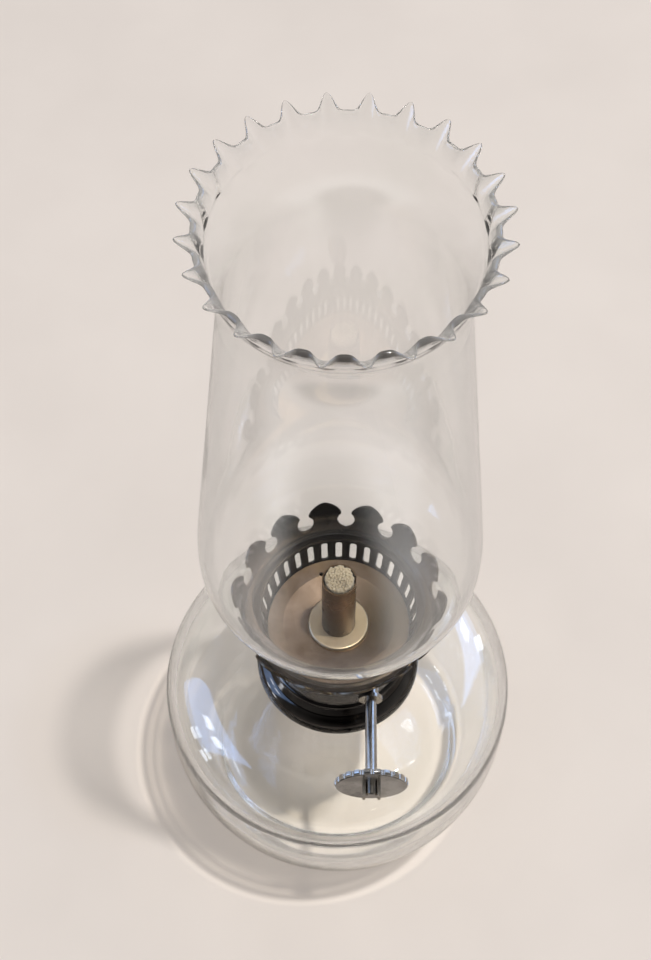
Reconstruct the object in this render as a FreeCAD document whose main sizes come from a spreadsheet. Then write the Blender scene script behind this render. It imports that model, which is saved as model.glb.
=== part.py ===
import FreeCAD, Part
import math
import os
from types import SimpleNamespace
import Sketcher

# A small table lamp for lamp oil: a squat clear glass font, a plated screw-in burner with a
# slotted basket and a coronet of prongs, a round wick with its winder, and a glass chimney
# with a crimped rim. Millimetres, +Z up, origin in the middle of the base, winder towards -Y.

doc = FreeCAD.newDocument("TableLamp")
sheet = doc.addObject("Spreadsheet::Sheet", "Sizes")

# Driving dimensions.
dimensions = {
    # Glass font.
    "font_radius": 51.4,
    "font_base_radius": 36.5,
    "font_side_low": 44.0,
    "font_side_high": 54.0,
    "font_shoulder": 17.0,
    "font_crown": 1.5,
    "font_wall": 3.0,
    "font_floor": 6.0,
    "font_floor_crown": 1.0,
    "font_floor_round": 14.0,
    "font_foot_round": 8.0,
    "base_ring_width": 5.4,
    "base_hollow": 3.0,
    "neck_radius": 17.6,
    "neck_wall": 2.8,
    "neck_height": 6.0,
    # Collar cemented on the neck, and the burner's screw ring in it.
    "collar_radius": 23.5,
    "collar_waist": 20.6,
    "collar_dome": 4.2,
    "collar_sheet": 0.8,
    "collar_lift": 0.3,
    "thread_radius": 18.6,
    "thread_height": 7.1,
    "thread_ridge": 1.0,
    "thread_clearance": 0.3,
    "screw_ring_flange": 19.8,
    # Burner shell.
    "burner_sheet": 0.8,
    "drum_radius": 19.8,
    "drum_height": 10.0,
    "drum_bead": 0.7,
    "basket_radius": 20.6,
    "basket_flare": 1.5,
    "basket_sheet": 0.6,
    "basket_height": 9.4,
    "basket_flange_width": 3.0,
    "slot_count": 32,
    "slot_width": 1.9,
    "slot_height": 8.2,
    "slot_lift": 0.2,
    "plate_clearance": 0.3,
    "plate_sheet": 0.6,
    "plate_dish": 0.8,
    "plate_rim_width": 4.2,
    "vent_radius": 0.65,
    "vent_distance": 15.9,
    "vent_angle": 108.0,
    "fit_clearance": 0.05,
    # Coronet of prongs.
    "coronet_radius": 25.4,
    "coronet_sheet": 0.6,
    "prong_count": 14,
    "prong_height": 8.6,
    "prong_flare": 3.4,
    "prong_foot": 0.7,
    "prong_turn": -4.4,
    "gap_pocket_radius": 2.5,
    "gap_throat": 2.8,
    "gap_mouth": 12.2,
    "prong_shoulder": 8.0,
    # Wick and its tube.
    "wick_radius": 4.0,
    "wick_clearance": 0.3,
    "wick_rise": 1.5,
    "wick_floor_gap": 25.0,
    "tube_wall": 0.4,
    "tube_rise": 27.0,
    "tube_tail": 7.0,
    "tube_ring_radius": 8.6,
    "tube_ring_height": 1.4,
    # Winder.
    "winder_height": 3.4,
    "shaft_radius": 1.6,
    "spur_radius": 5.5,
    "spur_root": 4.3,
    "spur_teeth": 14,
    "spur_width": 1.6,
    "spur_clearance": 0.3,
    "wick_bite": 0.5,
    "wick_track_up": 14.0,
    "wick_track_down": 17.0,
    "bush_wall": 0.65,
    "bush_length": 6.0,
    "bush_head": 1.0,
    "stop_ring_wall": 0.7,
    "stop_ring_width": 2.0,
    "bracket_distance": 4.2,
    "bracket_sheet": 0.8,
    "bracket_width": 8.4,
    "bracket_foot": 5.0,
    "rivet_radius": 0.7,
    "rivet_head": 1.3,
    "rivet_spacing": 5.0,
    "thumb_wheel_radius": 10.0,
    "thumb_wheel_distance": 45.0,
    "thumb_wheel_sheet": 0.8,
    "thumb_wheel_rim": 1.5,
    "thumb_wheel_hub": 2.9,
    "scallop_count": 22,
    "scallop_radius": 0.8,
    "shaft_end": 2.6,
    "tab_width": 3.0,
    "tab_length": 3.2,
    # Glass chimney.
    "chimney_base_radius": 24.3,
    "chimney_wall": 1.7,
    "chimney_height": 170.0,
    "chimney_collar_height": 5.0,
    "bulge_height": 38.7,
    "bulge_radius": 36.4,
    "bulge_curve": 22.0,
    "bulge_upper_curve": 90.0,
    "chimney_taper": 5.7,
    "flare_height": 26.0,
    "flare_curve": 40.0,
    "crimp_count": 24,
    "crimp_height": 8.0,
    "crimp_swing": 2.0,
    "crimp_spread": 2.9,
}


class Size:
    # A length that knows its value and the sheet expression that gives it.
    def __init__(self, value, text):
        self.value = float(value)
        self.text = text

    def __add__(self, other):
        other = as_size(other)
        return Size(self.value + other.value, f"({self.text} + {other.text})")

    def __sub__(self, other):
        other = as_size(other)
        return Size(self.value - other.value, f"({self.text} - {other.text})")

    def __mul__(self, other):
        other = as_size(other)
        return Size(self.value * other.value, f"({self.text} * {other.text})")

    def __truediv__(self, other):
        other = as_size(other)
        return Size(self.value / other.value, f"({self.text} / {other.text})")

    def __neg__(self):
        return Size(-self.value, f"(-{self.text})")


def as_size(number):
    if isinstance(number, Size):
        return number
    return Size(number, repr(float(number)))


def root(size):
    return Size(math.sqrt(size.value), f"sqrt({size.text})")


def cosine(angle):
    return Size(math.cos(math.radians(angle.value)), f"cos({angle.text} * 1 deg)")


def sine(angle):
    return Size(math.sin(math.radians(angle.value)), f"sin({angle.text} * 1 deg)")


for row, (alias, value) in enumerate(dimensions.items(), start=1):
    sheet.set(f"A{row}", alias.replace("_", " "))
    sheet.set(f"B{row}", str(value))
    sheet.setAlias(f"B{row}", alias)
doc.recompute()
size = SimpleNamespace(**{alias: Size(value, f"Sizes.{alias}") for alias, value in dimensions.items()})
zero = as_size(0.0)
# A rounded end is a little flatter than a half circle.
end_round = 1.05


def origin_feature(body, role):
    return next(feature for feature in body.Origin.OriginFeatures if feature.Role == role)


def new_body(label):
    body = doc.addObject("PartDesign::Body", label)
    body.Label = label
    return body


def new_sketch(body, name, role="XZ_Plane", height=None):
    sketch = body.newObject("Sketcher::SketchObject", name)
    sketch.AttachmentSupport = (origin_feature(body, role), [""])
    sketch.MapMode = "FlatFace"
    if height is not None:
        sketch.AttachmentOffset = FreeCAD.Placement(FreeCAD.Vector(0, 0, height.value), FreeCAD.Rotation())
        sketch.setExpression("AttachmentOffset.Base.z", height.text)
    return sketch


def pin_value(sketch, kind, places, size):
    index = sketch.addConstraint(Sketcher.Constraint(kind, *places, size.value))
    sketch.setExpression(f"Constraints[{index}]", size.text)


def pin_point(sketch, geometry, end, x, y):
    if x is zero:
        sketch.addConstraint(Sketcher.Constraint("PointOnObject", geometry, end, -2))
    else:
        pin_value(sketch, "DistanceX", (-1, 1, geometry, end), as_size(x))
    if y is zero:
        sketch.addConstraint(Sketcher.Constraint("PointOnObject", geometry, end, -1))
    else:
        pin_value(sketch, "DistanceY", (-1, 1, geometry, end), as_size(y))


def arc_side(start, end, radius, turn, long_way=False):
    # The arc from start to end, turning left where turn is 1 and right where it is -1.
    chord = end - start
    middle = (start + end) * 0.5
    reach = math.sqrt(max(radius * radius - chord.Length * chord.Length / 4, 0))
    across = FreeCAD.Vector(-chord.y, chord.x, 0).normalize()
    centre = middle + across * (reach * turn * (-1 if long_way else 1))
    first, last = (start, end) if turn > 0 else (end, start)
    from_angle = math.atan2(first.y - centre.y, first.x - centre.x)
    to_angle = math.atan2(last.y - centre.y, last.x - centre.x)
    circle = Part.Circle(centre, FreeCAD.Vector(0, 0, 1), radius)
    return Part.ArcOfCircle(circle, from_angle, to_angle)


def outline(sketch, corners, arcs=None, long_arcs=()):
    # A closed outline. arcs gives, by the number of the corner it starts at, an arc's radius and turn,
    # and long_arcs the numbers of those that take more than half of their circle.
    arcs = arcs or {}
    points = [FreeCAD.Vector(as_size(x).value, as_size(y).value, 0) for x, y in corners]
    first = sketch.GeometryCount
    ends = []
    for number, start in enumerate(points):
        end = points[(number + 1) % len(points)]
        if number in arcs:
            radius, turn = arcs[number]
            sketch.addGeometry(arc_side(start, end, radius.value, turn, number in long_arcs), False)
            ends.append((1, 2) if turn > 0 else (2, 1))
        else:
            sketch.addGeometry(Part.LineSegment(start, end), False)
            ends.append((1, 2))
    for number in range(len(points)):
        following = (number + 1) % len(points)
        places = (first + number, ends[number][1], first + following, ends[following][0])
        sketch.addConstraint(Sketcher.Constraint("Coincident", *places))
    for number, (x, y) in enumerate(corners):
        pin_point(sketch, first + number, ends[number][0], x, y)
    for number, (radius, turn) in arcs.items():
        pin_value(sketch, "Radius", (first + number,), radius)


def ring_outline(inner, outer, low, high):
    return [(inner, low), (outer, low), (outer, high), (inner, high)]


def circle(sketch, x, y, radius):
    place = FreeCAD.Vector(as_size(x).value, as_size(y).value, 0)
    number = sketch.addGeometry(Part.Circle(place, FreeCAD.Vector(0, 0, 1), radius.value), False)
    pin_point(sketch, number, 3, x, y)
    pin_value(sketch, "Radius", (number,), radius)


def revolve(body, corners, arcs=None):
    # A full turn about the body's Z axis of an outline drawn as radius and height.
    sketch = new_sketch(body, f"{body.Label}_profile")
    outline(sketch, corners, arcs)
    turned = body.newObject("PartDesign::Revolution", f"{body.Label}_turned")
    turned.Profile = sketch
    turned.ReferenceAxis = (sketch, ["V_Axis"])
    turned.Angle = 360.0
    sketch.Visibility = False
    doc.recompute()
    return turned


def pocket(body, sketch, length, reversed_way=False):
    before = body.Shape.Volume
    cut = body.newObject("PartDesign::Pocket", f"{sketch.Name}_cut")
    cut.Profile = sketch
    cut.Length = length.value
    cut.setExpression("Length", length.text)
    cut.Reversed = reversed_way
    doc.recompute()
    if not body.Shape.Volume < before:
        raise RuntimeError(f"{cut.Name} cuts nothing")
    return cut


def pad(body, sketch, length, reversed_way=False):
    grown = body.newObject("PartDesign::Pad", f"{sketch.Name}_pad")
    grown.Profile = sketch
    grown.Length = length.value
    grown.setExpression("Length", length.text)
    grown.Reversed = reversed_way
    doc.recompute()
    return grown


def repeat_around(body, feature, count):
    pattern = body.newObject("PartDesign::PolarPattern", f"{feature.Name}_around")
    pattern.Originals = [feature]
    pattern.Axis = (origin_feature(body, "Z_Axis"), [""])
    pattern.Angle = 360.0
    pattern.Occurrences = int(count.value)
    pattern.setExpression("Occurrences", count.text)
    body.Tip = pattern
    doc.recompute()
    return pattern


# Heights of the stack, from the table upwards.
shoulder_top = size.font_side_high + size.font_shoulder
neck_foot = shoulder_top + size.font_crown
neck_top = neck_foot + size.neck_height
collar_bottom = neck_foot + size.collar_lift
thread_bottom = neck_top + size.collar_sheet + size.collar_lift
collar_top = thread_bottom + size.thread_height
drum_bottom = collar_top + size.collar_sheet
drum_top = drum_bottom + size.drum_height
plate_bottom = drum_top + size.basket_sheet
plate_top = plate_bottom + size.plate_sheet
basket_top = drum_top + size.basket_height
seat = basket_top + size.coronet_sheet
winder_level = drum_bottom + size.winder_height
tube_top = plate_top + size.tube_rise
wick_top = tube_top + size.wick_rise

# Distances from the lamp's axis.
tube_bore = size.wick_radius + size.wick_clearance
tube_radius = tube_bore + size.tube_wall
tube_hole = tube_radius + size.fit_clearance
winder_offset = size.wick_radius - size.wick_bite + size.spur_radius
slit_width = size.spur_width + size.spur_clearance * 2
drum_bore = size.drum_radius - size.burner_sheet
shaft_hole = size.shaft_radius + size.fit_clearance
bush_radius = shaft_hole + size.bush_wall

# The collar's domed flange, and the hollow under it.
flange_edge = collar_bottom + size.collar_sheet
flange_step = size.collar_radius - size.collar_waist
flange_round = (flange_step * flange_step + size.collar_dome * size.collar_dome) / (flange_step * 2)
hollow_foot = size.collar_radius - size.collar_sheet
hollow_radius = size.collar_waist - size.collar_sheet
hollow_round = flange_round - size.collar_sheet
hollow_inset = hollow_round - flange_step
hollow_shoulder = flange_edge + root(hollow_round * hollow_round - hollow_inset * hollow_inset)


def make_font():
    body = new_body("font")
    side = size.font_radius - size.font_base_radius
    bowl = (side * side + size.font_side_low * size.font_side_low) / (side * 2)
    bowl_middle = size.font_radius - bowl
    # Outside, the bowl turns under to the ring that it stands on.
    foot_reach = bowl - size.font_foot_round
    foot_drop = size.font_side_low - size.font_foot_round
    foot_outer = bowl_middle + root(foot_reach * foot_reach - foot_drop * foot_drop)
    foot_share = bowl / foot_reach
    bowl_start = bowl_middle + (foot_outer - bowl_middle) * foot_share
    bowl_start_level = size.font_side_low - foot_drop * foot_share
    # Inside, a larger round joins the bowl to the floor.
    inner_bowl = bowl - size.font_wall
    inner_drop = size.font_side_low - size.font_floor
    rounding = size.font_floor_round
    round_reach = inner_bowl - rounding
    round_drop = inner_drop - rounding
    floor_radius = bowl_middle + root(round_reach * round_reach - round_drop * round_drop)
    bowl_share = inner_bowl / round_reach
    bowl_end = bowl_middle + (floor_radius - bowl_middle) * bowl_share
    bowl_end_level = size.font_side_low - round_drop * bowl_share
    shoulder_middle = size.font_radius - size.font_shoulder
    inner_shoulder = size.font_shoulder - size.font_wall
    inner_side = size.font_radius - size.font_wall
    neck_bore = size.neck_radius - size.neck_wall
    foot_inner = foot_outer - size.base_ring_width
    hollow = (foot_inner * foot_inner + size.base_hollow * size.base_hollow) / (size.base_hollow * 2)
    crown = size.font_floor_crown
    floor_curve = (floor_radius * floor_radius + crown * crown) / (crown * 2)
    corners = [
        (zero, size.base_hollow),
        (foot_inner, zero),
        (foot_outer, zero),
        (bowl_start, bowl_start_level),
        (size.font_radius, size.font_side_low),
        (size.font_radius, size.font_side_high),
        (shoulder_middle, shoulder_top),
        (size.neck_radius, neck_foot),
        (size.neck_radius, neck_top),
        (neck_bore, neck_top),
        (neck_bore, neck_foot - size.font_wall),
        (shoulder_middle, shoulder_top - size.font_wall),
        (inner_side, size.font_side_high),
        (inner_side, size.font_side_low),
        (bowl_end, bowl_end_level),
        (floor_radius, size.font_floor),
        (zero, size.font_floor + crown),
    ]
    arcs = {
        0: (hollow, -1),
        2: (size.font_foot_round, 1),
        3: (bowl, 1),
        5: (size.font_shoulder, 1),
        11: (inner_shoulder, -1),
        13: (inner_bowl, -1),
        14: (rounding, -1),
        15: (floor_curve, 1),
    }
    revolve(body, corners, arcs)
    return body


def make_font_collar():
    # Spun sheet: a domed flange over the neck, and a narrower bore rolled with one ridge.
    body = new_body("font_collar")
    thread_outer = size.thread_radius + size.collar_sheet
    ridge = size.thread_ridge
    step = thread_bottom + size.collar_sheet
    ridge_middle = step + ridge * 2
    corners = [
        (hollow_foot, collar_bottom),
        (size.collar_radius, collar_bottom),
        (size.collar_radius, flange_edge),
        (size.collar_waist, flange_edge + size.collar_dome),
        (size.collar_waist, thread_bottom - size.collar_sheet),
        (thread_outer, step),
        (thread_outer, ridge_middle - ridge / end_round),
        (thread_outer, ridge_middle + ridge / end_round),
        (thread_outer, collar_top),
        (size.thread_radius, collar_top),
        (size.thread_radius, thread_bottom),
        (hollow_radius, neck_top),
        (hollow_radius, hollow_shoulder),
        (hollow_foot, flange_edge),
    ]
    revolve(body, corners, {2: (flange_round, 1), 6: (ridge, 1), 12: (hollow_round, -1)})
    return body


def make_collar_cement():
    # Plaster that fills the space between the neck and the collar.
    body = new_body("collar_cement")
    corners = [
        (size.neck_radius, collar_bottom),
        (hollow_foot, collar_bottom),
        (hollow_foot, flange_edge),
        (hollow_radius, hollow_shoulder),
        (hollow_radius, neck_top),
        (size.neck_radius, neck_top),
    ]
    revolve(body, corners, {2: (hollow_round, 1)})
    return body


def make_screw_ring():
    body = new_body("screw_ring")
    outer = size.thread_radius - size.thread_clearance
    inner = outer - size.collar_sheet
    corners = [
        (inner, thread_bottom + size.collar_sheet),
        (outer, thread_bottom + size.collar_sheet),
        (outer, collar_top),
        (size.screw_ring_flange, collar_top),
        (size.screw_ring_flange, drum_bottom),
        (inner, drum_bottom),
    ]
    revolve(body, corners)
    return body


def make_burner_drum():
    body = new_body("burner_drum")
    bead = size.drum_bead
    bead_top = drum_top - size.burner_sheet
    corners = [
        (drum_bore, drum_bottom),
        (size.drum_radius, drum_bottom),
        (size.drum_radius, bead_top - bead * 2 / end_round),
        (size.drum_radius, bead_top),
        (size.drum_radius, drum_top),
        (drum_bore, drum_top),
    ]
    revolve(body, corners, {2: (bead, 1)})
    sketch = new_sketch(body, "bush_hole")
    circle(sketch, winder_offset, winder_level, bush_radius + size.fit_clearance)
    pocket(body, sketch, size.drum_radius + size.drum_bead, True)
    return body


def make_burner_floor():
    # Closes the drum below, with the tube's hole and a window for the spur wheel.
    body = new_body("burner_floor")
    top = drum_bottom + size.burner_sheet
    revolve(body, ring_outline(tube_hole, drum_bore - size.fit_clearance, drum_bottom, top))
    window = new_sketch(body, "wheel_window", "XY_Plane", drum_bottom)
    half = slit_width / 2
    far = winder_offset + size.spur_radius + size.spur_clearance
    outline(window, [(zero, -half), (far, -half), (far, half), (zero, half)])
    pocket(body, window, size.burner_sheet, True)
    holes = new_sketch(body, "rivet_holes", "XY_Plane", drum_bottom)
    for side in (-0.5, 0.5):
        circle(holes, winder_offset + size.rivet_spacing * side, rivet_row, size.rivet_radius)
    pocket(body, holes, size.burner_sheet, True)
    return body


def make_air_basket():
    # The ring of upright slots that lets air in below the chimney.
    body = new_body("air_basket")
    bore = size.basket_radius - size.basket_sheet
    corners = [
        (size.basket_radius - size.basket_flange_width, drum_top),
        (size.basket_radius, drum_top),
        (size.basket_radius + size.basket_flare, basket_top),
        (bore + size.basket_flare, basket_top),
        (bore, plate_bottom),
        (size.basket_radius - size.basket_flange_width, plate_bottom),
    ]
    revolve(body, corners)
    middle = plate_bottom + size.slot_lift + size.slot_height / 2
    half = size.slot_width / 2
    straight = (size.slot_height - size.slot_width) / 2
    sketch = new_sketch(body, "air_slot")
    corners = [
        (-half, middle - straight),
        (half, middle - straight),
        (half, middle + straight),
        (-half, middle + straight),
    ]
    outline(sketch, corners, {0: (half * end_round, 1), 2: (half * end_round, 1)})
    slot = pocket(body, sketch, size.basket_radius + size.basket_flare + size.basket_sheet)
    repeat_around(body, slot, size.slot_count)
    return body


def make_burner_plate():
    # The dished plate round the wick tube, with one small vent.
    body = new_body("burner_plate")
    edge = size.basket_radius - size.basket_sheet - size.plate_clearance
    rim = edge - size.plate_rim_width
    middle = size.tube_ring_radius
    corners = [
        (tube_hole, plate_bottom - size.plate_dish),
        (middle, plate_bottom - size.plate_dish),
        (rim, plate_bottom),
        (edge, plate_bottom),
        (edge, plate_top),
        (rim, plate_top),
        (middle, plate_top - size.plate_dish),
        (tube_hole, plate_top - size.plate_dish),
    ]
    revolve(body, corners)
    sketch = new_sketch(body, "vent", "XY_Plane", plate_bottom - size.plate_dish)
    across = size.vent_distance * cosine(size.vent_angle)
    along = size.vent_distance * sine(size.vent_angle)
    circle(sketch, across, along, size.vent_radius)
    pocket(body, sketch, size.plate_sheet + size.plate_dish, True)
    return body


def make_tube_ring():
    # The pressed ring that holds the wick tube upright on the plate.
    body = new_body("tube_ring")
    low = plate_top - size.plate_dish
    high = low + size.tube_ring_height
    corners = ring_outline(tube_hole, size.tube_ring_radius, low, high)
    round_edge = size.tube_ring_height / 2
    corners[2:3] = [(size.tube_ring_radius, high - round_edge), (size.tube_ring_radius - round_edge, high)]
    revolve(body, corners, {2: (round_edge, 1)})
    return body


def make_wick_tube():
    # A rolled tube whose open seam lets the spur wheel reach the wick.
    body = new_body("wick_tube")
    low = drum_bottom - size.tube_tail
    revolve(body, ring_outline(tube_bore, tube_radius, low, tube_top))
    sketch = new_sketch(body, "seam", "XY_Plane", low)
    half = slit_width / 2
    outline(sketch, [(zero, -half), (tube_radius, -half), (tube_radius, half), (zero, half)])
    pocket(body, sketch, tube_top - low, True)
    return body


def make_wick():
    # Round cotton wick with the track that the spur wheel presses into its side.
    body = new_body("wick")
    low = size.font_floor + size.font_floor_crown + size.wick_floor_gap
    revolve(body, [(zero, low), (size.wick_radius, low), (size.wick_radius, wick_top), (zero, wick_top)])
    start = winder_level - size.wick_track_down
    sketch = new_sketch(body, "wheel_track", "XY_Plane", start)
    half = slit_width / 2
    floor = size.wick_radius - size.wick_bite - size.spur_clearance
    outline(sketch, [(floor, -half), (size.wick_radius, -half), (size.wick_radius, half), (floor, half)])
    pocket(body, sketch, size.wick_track_up + size.wick_track_down, True)
    return body


def place_on_winder(body):
    # A winder piece is drawn along its own Z axis, which points to the front of the lamp.
    turned = FreeCAD.Rotation(FreeCAD.Vector(1, 0, 0), 90)
    body.Placement = FreeCAD.Placement(FreeCAD.Vector(winder_offset.value, 0, winder_level.value), turned)
    body.setExpression("Placement.Base.x", winder_offset.text)
    body.setExpression("Placement.Base.z", winder_level.text)


wall_distance = root(size.drum_radius * size.drum_radius - winder_offset * winder_offset)
bush_front = wall_distance + size.bush_length / 2
bush_back = wall_distance - size.bush_length / 2
bracket_back = size.bracket_distance + size.bracket_sheet
rivet_row = bracket_back + size.bracket_foot / 2
wheel_face = size.thumb_wheel_distance + size.thumb_wheel_sheet


def make_winder_bush():
    body = new_body("winder_bush")
    head = bush_radius + size.bush_head
    corners = [
        (shaft_hole, bush_back),
        (bush_radius, bush_back),
        (bush_radius, bush_front - size.bush_head),
        (head, bush_front - size.bush_head),
        (head, bush_front),
        (shaft_hole, bush_front),
    ]
    revolve(body, corners)
    place_on_winder(body)
    return body


def make_winder_shaft():
    body = new_body("winder_shaft")
    back = -(bracket_back + size.bracket_sheet)
    front = wheel_face + size.shaft_end
    edge = size.shaft_radius / 4
    corners = [
        (zero, back),
        (size.shaft_radius - edge, back),
        (size.shaft_radius, back + edge),
        (size.shaft_radius, front - edge),
        (size.shaft_radius - edge, front),
        (zero, front),
    ]
    revolve(body, corners)
    place_on_winder(body)
    return body


def make_spur_wheel():
    # A thin toothed wheel whose points catch in the cotton.
    body = new_body("spur_wheel")
    half = size.spur_width / 2
    revolve(body, ring_outline(size.shaft_radius, size.spur_radius, -half, half))
    sketch = new_sketch(body, "tooth_gap", "XY_Plane", -half)
    step = as_size(180.0) / size.spur_teeth
    outer = size.spur_radius + size.spur_clearance
    tip_across = size.spur_radius * sine(step)
    tip_along = size.spur_radius * cosine(step)
    corners = [(zero, size.spur_root), (tip_across, tip_along), (tip_across, outer),
               (-tip_across, outer), (-tip_across, tip_along)]
    outline(sketch, corners)
    gap = pocket(body, sketch, size.spur_width, True)
    repeat_around(body, gap, size.spur_teeth)
    place_on_winder(body)
    return body


def make_stop_ring():
    # Keeps the shaft from being drawn out through its bush.
    body = new_body("stop_ring")
    high = bush_back - size.spur_clearance
    low = high - size.stop_ring_width
    revolve(body, ring_outline(size.shaft_radius, size.shaft_radius + size.stop_ring_wall, low, high))
    place_on_winder(body)
    return body


def make_thumb_wheel():
    # A stamped disc with its milled edge turned back, and two tabs that clasp the shaft's end.
    body = new_body("thumb_wheel")
    back = size.thumb_wheel_distance
    rim = size.thumb_wheel_radius - size.thumb_wheel_sheet
    hub = size.thumb_wheel_hub
    fold = size.thumb_wheel_sheet
    corners = [
        (size.shaft_radius, back - fold),
        (hub, back - fold),
        (hub, back),
        (rim, back),
        (rim, wheel_face - size.thumb_wheel_rim),
        (size.thumb_wheel_radius, wheel_face - size.thumb_wheel_rim),
        (size.thumb_wheel_radius, wheel_face - fold),
        (size.thumb_wheel_radius - fold, wheel_face),
        (size.shaft_radius, wheel_face),
    ]
    revolve(body, corners, {6: (fold, 1)})
    low = wheel_face - size.thumb_wheel_rim
    sketch = new_sketch(body, "scallop", "XY_Plane", low)
    circle(sketch, zero, size.thumb_wheel_radius + size.scallop_radius / 3, size.scallop_radius)
    notch = pocket(body, sketch, size.thumb_wheel_rim, True)
    repeat_around(body, notch, size.scallop_count)
    tabs = new_sketch(body, "tabs", "XY_Plane", wheel_face)
    near = size.shaft_radius + size.fit_clearance
    far = near + size.thumb_wheel_sheet
    half = size.tab_width / 2
    for inner, outer in ((near, far), (-far, -near)):
        outline(tabs, [(inner, -half), (outer, -half), (outer, half), (inner, half)])
    body.Tip = pad(body, tabs, size.tab_length)
    place_on_winder(body)
    return body


def make_winder_bracket():
    # An angle riveted to the floor that carries the shaft's inner end.
    body = new_body("winder_bracket")
    foot = drum_bottom + size.burner_sheet
    top = winder_level + shaft_hole + size.bracket_sheet * 2
    front = size.bracket_distance
    back = bracket_back + size.bracket_foot
    half = size.bracket_width / 2
    sketch = new_sketch(body, "angle", "YZ_Plane", -half)
    corners = [
        (front, foot),
        (back, foot),
        (back, foot + size.bracket_sheet),
        (bracket_back, foot + size.bracket_sheet),
        (bracket_back, top),
        (front, top),
    ]
    outline(sketch, corners)
    pad(body, sketch, size.bracket_width)
    bearing = new_sketch(body, "bearing_hole")
    circle(bearing, zero, winder_level, shaft_hole)
    pocket(body, bearing, bracket_back)
    holes = new_sketch(body, "foot_holes", "XY_Plane", foot)
    for side in (-0.5, 0.5):
        circle(holes, size.rivet_spacing * side, rivet_row, size.rivet_radius)
    pocket(body, holes, size.bracket_sheet, True)
    body.Placement.Base = FreeCAD.Vector(winder_offset.value, 0, 0)
    body.setExpression("Placement.Base.x", winder_offset.text)
    return body


def make_bracket_rivets():
    # Two rivets, headed above the bracket's foot and flush below the floor.
    low = drum_bottom
    foot = drum_bottom + size.burner_sheet + size.bracket_sheet
    rivets = []
    for name, side in (("left_rivet", -0.5), ("right_rivet", 0.5)):
        body = new_body(name)
        head = size.rivet_head
        corners = [
            (zero, low),
            (size.rivet_radius, low),
            (size.rivet_radius, foot),
            (head, foot),
            (zero, foot + head / 2),
        ]
        dome = (head * head + head * head / 4) / head
        revolve(body, corners, {3: (dome, 1)})
        across = winder_offset + size.rivet_spacing * side
        body.Placement.Base = FreeCAD.Vector(across.value, rivet_row.value, 0)
        body.setExpression("Placement.Base.x", across.text)
        body.setExpression("Placement.Base.y", rivet_row.text)
        rivets.append(body)
    group = doc.addObject("Part::Compound", "bracket_rivets")
    group.Links = rivets
    doc.recompute()
    return group


def make_coronet():
    # A flat seat for the chimney with spade-shaped prongs that lean outwards round it.
    body = new_body("coronet")
    bore = size.basket_radius + size.basket_flare - size.basket_sheet
    sheet_across = size.coronet_sheet * root(as_size(1.0) + (size.prong_flare / size.prong_height)
                                             * (size.prong_flare / size.prong_height))
    tip = seat + size.prong_height
    corners = [
        (bore, basket_top),
        (size.coronet_radius + sheet_across, basket_top),
        (size.coronet_radius + sheet_across, seat),
        (size.coronet_radius + size.prong_flare + sheet_across, tip),
        (size.coronet_radius + size.prong_flare, tip),
        (size.coronet_radius, seat),
        (bore, seat),
    ]
    revolve(body, corners)
    # The space between two prongs: a round pocket, a narrow throat and a wide open mouth.
    pocket_middle = seat + size.prong_foot + size.gap_pocket_radius
    throat = size.gap_throat / 2
    drop = root(size.gap_pocket_radius * size.gap_pocket_radius - throat * throat)
    throat_level = pocket_middle + drop
    mouth = size.gap_mouth / 2
    over = tip + size.coronet_sheet / 4
    sketch = new_sketch(body, "prong_gap")
    corners = [(throat, throat_level), (mouth, over), (-mouth, over), (-throat, throat_level)]
    arcs = {0: (size.prong_shoulder, -1), 2: (size.prong_shoulder, -1), 3: (size.gap_pocket_radius, 1)}
    outline(sketch, corners, arcs, long_arcs=(3,))
    reach = size.coronet_radius + size.prong_flare + sheet_across * 2
    gap = pocket(body, sketch, reach)
    repeat_around(body, gap, size.prong_count)
    body.Placement.Rotation = FreeCAD.Rotation(FreeCAD.Vector(0, 0, 1), size.prong_turn.value)
    body.setExpression("Placement.Rotation.Angle", size.prong_turn.text)
    return body


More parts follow.
